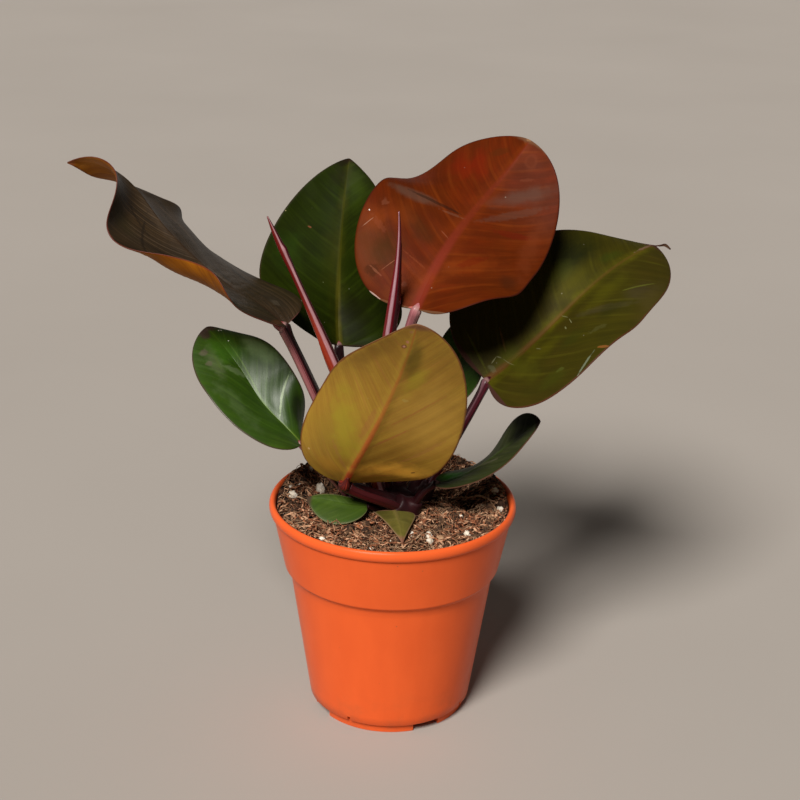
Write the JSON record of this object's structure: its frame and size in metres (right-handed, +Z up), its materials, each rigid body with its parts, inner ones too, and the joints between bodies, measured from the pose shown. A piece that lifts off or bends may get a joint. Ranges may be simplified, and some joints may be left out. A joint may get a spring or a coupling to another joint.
{
  "type": "potted philodendron",
  "caption": "Potted foliage plant with broad waxy copper, dark green and olive leaves on red stalks, in a round terracotta-coloured plastic pot filled with soil.",
  "frame": {"origin": "where the pot's axis meets the floor it stands on", "axes": "+Z up along the pot's axis; -Y towards the side shown in the picture, +X to the right there"},
  "size_m": [0.2835, 0.154, 0.2759],
  "materials": {
    "pot": "satin moulded plastic",
    "soil": "rough coir and peat",
    "crown": "satin",
    "stalk": "satin",
    "new_leaf": "satin",
    "leaf_brown": "satin",
    "leaf_green": "waxy satin",
    "leaf_copper": "waxy gloss",
    "leaf_dark": "waxy satin",
    "leaf_olive": "satin",
    "leaf_young": "waxy gloss"
  },
  "bodies": {
    "root": {"crown": "crown", "stalk_far_left": "stalk", "stalk_back": "stalk", "stalk_copper": "stalk", "stalk_right": "stalk", "stalk_front": "stalk", "stalk_low_left": "stalk", "stalk_low_right": "stalk", "stalk_inner": "stalk", "spear_left": "new_leaf", "spear_centre": "new_leaf", "leaf_far_left": "leaf_brown", "leaf_back": "leaf_green", "leaf_copper": "leaf_copper", "leaf_right": "leaf_dark", "leaf_front": "leaf_olive", "leaf_low_left": "leaf_young", "leaf_low_right": "leaf_dark", "leaf_inner": "leaf_young", "leaf_small_left": "leaf_young", "leaf_small_front": "leaf_olive", "pot": "pot", "soil": "soil"}
  },
  "joints": []
}
